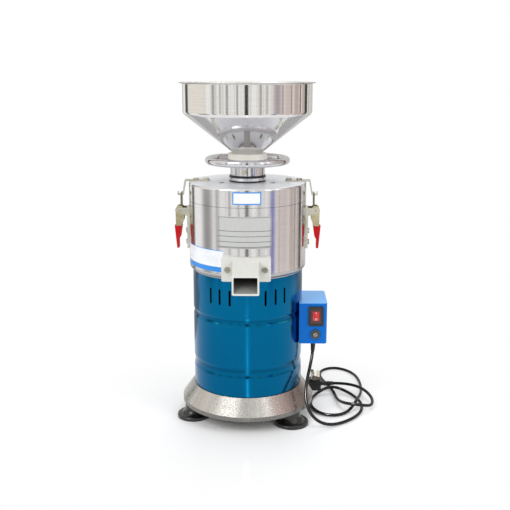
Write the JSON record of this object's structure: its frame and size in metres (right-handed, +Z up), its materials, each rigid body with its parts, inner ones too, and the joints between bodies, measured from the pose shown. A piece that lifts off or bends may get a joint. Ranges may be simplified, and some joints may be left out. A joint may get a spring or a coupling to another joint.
{
  "type": "soybean grinder",
  "caption": "Upright electric soybean grinder: feed hopper, gap handwheel, latched lid and drum, pulp chute, motor housing with switch box, mains cord and suction feet.",
  "frame": {"origin": "on the floor under the middle of the machine's box, cord left out; the machine's own axis stands at x = -6.4 mm, y = 0", "axes": "+Z up along the motor axis, -Y out of the pulp chute, +X towards the switch box"},
  "size_m": [0.3802, 0.358, 0.62],
  "materials": {
    "cast_aluminium": "sand cast, lightly brushed",
    "polished_aluminium": "polished",
    "housing_paint": "metallic dark cyan enamel",
    "box_paint": "bright blue enamel",
    "stainless": "brushed",
    "bright_steel": "zinc plated",
    "steel": "turned",
    "copper": "enamelled wire",
    "rubber": "matt",
    "ivory_plastic": "moulded",
    "white_plastic": "moulded",
    "black_plastic": "moulded",
    "grey_plastic": "moulded",
    "red_plastic": "moulded",
    "red_vinyl": "dipped",
    "emery": "bonded abrasive, coarse",
    "plate": "printed plate, bare",
    "blue_plate": "printed plate, bare",
    "brass": "bright"
  },
  "bodies": {
    "frame": {"base_casting": "cast_aluminium", "foot_left": "rubber", "foot_right": "rubber", "foot_rear": "rubber", "foot_bolts": "steel", "motor_housing": "housing_paint", "motor_top_shield": "cast_aluminium", "stator_core": "steel", "stator_windings": "copper", "lower_bearing": "steel", "upper_bearing": "steel", "drum": "polished_aluminium", "shaft_seal": "rubber", "milk_ring": "stainless", "milk_spout": "stainless", "chute": "ivory_plastic", "chute_screws": "bright_steel", "name_plate": "plate", "badge_plate": "blue_plate", "lid_gasket": "rubber", "lid": "polished_aluminium", "lid_boss": "cast_aluminium", "lid_screws": "bright_steel", "boss_ring": "bright_steel", "neck_seals": "rubber", "catch_left": "bright_steel", "catch_right": "bright_steel", "catch_screws": "bright_steel", "latch_base_left": "bright_steel", "latch_base_right": "bright_steel", "latch_screws": "bright_steel", "control_box": "box_paint", "switch_frame": "black_plastic", "overload_protector": "black_plastic", "cord_gland": "black_plastic", "power_cord": "rubber", "plug": "black_plastic", "plug_pins": "brass"},
    "rotor": {"motor_shaft": "steel", "rotor_core": "steel", "cooling_fan": "black_plastic", "stone_carrier": "cast_aluminium", "lower_stone": "emery", "stone_nut": "brass", "separator_basket": "stainless"},
    "collar": {"hopper_collar": "white_plastic"},
    "adjuster": {"feed_sleeve": "cast_aluminium", "upper_stone_holder": "cast_aluminium", "upper_stone": "emery", "handwheel": "bright_steel", "lock_screw": "bright_steel"},
    "hopper": {"hopper": "stainless"},
    "lever_left": {"latch_lever_left": "bright_steel", "latch_grip_left": "red_vinyl"},
    "lever_right": {"latch_lever_right": "bright_steel", "latch_grip_right": "red_vinyl"},
    "bail_left": {"latch_bail_left": "bright_steel"},
    "bail_right": {"latch_bail_right": "bright_steel"},
    "rocker": {"switch_rocker": "red_plastic"},
    "button": {"reset_button": "grey_plastic"}
  },
  "joints": [
    {"name": "rotor_spin", "type": "hinge", "parent": "frame", "child": "rotor", "pos_m": [-0.0064, 0, 0.2], "axis": [0, 0, 1], "continuous": true},
    {"name": "gap_lift", "type": "slide", "parent": "frame", "child": "collar", "axis": [0, 0, 1], "range_m": [-0.0006, 0.0071]},
    {"name": "handwheel_turn", "type": "hinge", "parent": "collar", "child": "adjuster", "pos_m": [-0.0064, 0, 0.482], "axis": [0, 0, 1], "range_deg": [-45, 630]},
    {"name": "hopper_lift", "type": "slide", "parent": "collar", "child": "hopper", "axis": [0, 0, 1], "range_m": [0, 0.12]},
    {"name": "latch_left", "type": "hinge", "parent": "frame", "child": "lever_left", "pos_m": [-0.1306, 0, 0.391], "axis": [0, 1, 0], "range_deg": [0, 100]},
    {"name": "latch_right", "type": "hinge", "parent": "frame", "child": "lever_right", "pos_m": [0.1178, 0, 0.391], "axis": [0, -1, 0], "range_deg": [0, 100]},
    {"name": "bail_swing_left", "type": "hinge", "parent": "lever_left", "child": "bail_left", "pos_m": [-0.1281, 0, 0.3735], "axis": [0, 1, 0], "range_deg": [-74, 1]},
    {"name": "bail_swing_right", "type": "hinge", "parent": "lever_right", "child": "bail_right", "pos_m": [0.1153, 0, 0.3735], "axis": [0, -1, 0], "range_deg": [-74, 1]},
    {"name": "switch_rock", "type": "hinge", "parent": "frame", "child": "rocker", "pos_m": [0.12, -0.043, 0.2], "axis": [1, 0, 0], "range_deg": [0, 20]},
    {"name": "reset_press", "type": "slide", "parent": "frame", "child": "button", "axis": [0, 1, 0], "range_m": [0, 0.003], "stiffness_N_per_m": 300}
  ],
  "couplings": [
    {"joint": "gap_lift", "follows": "handwheel_turn", "m_per_rad": 0.00063662},
    {"joint": "bail_swing_left", "follows": "latch_left", "ratio": -0.73},
    {"joint": "bail_swing_right", "follows": "latch_right", "ratio": -0.73}
  ]
}
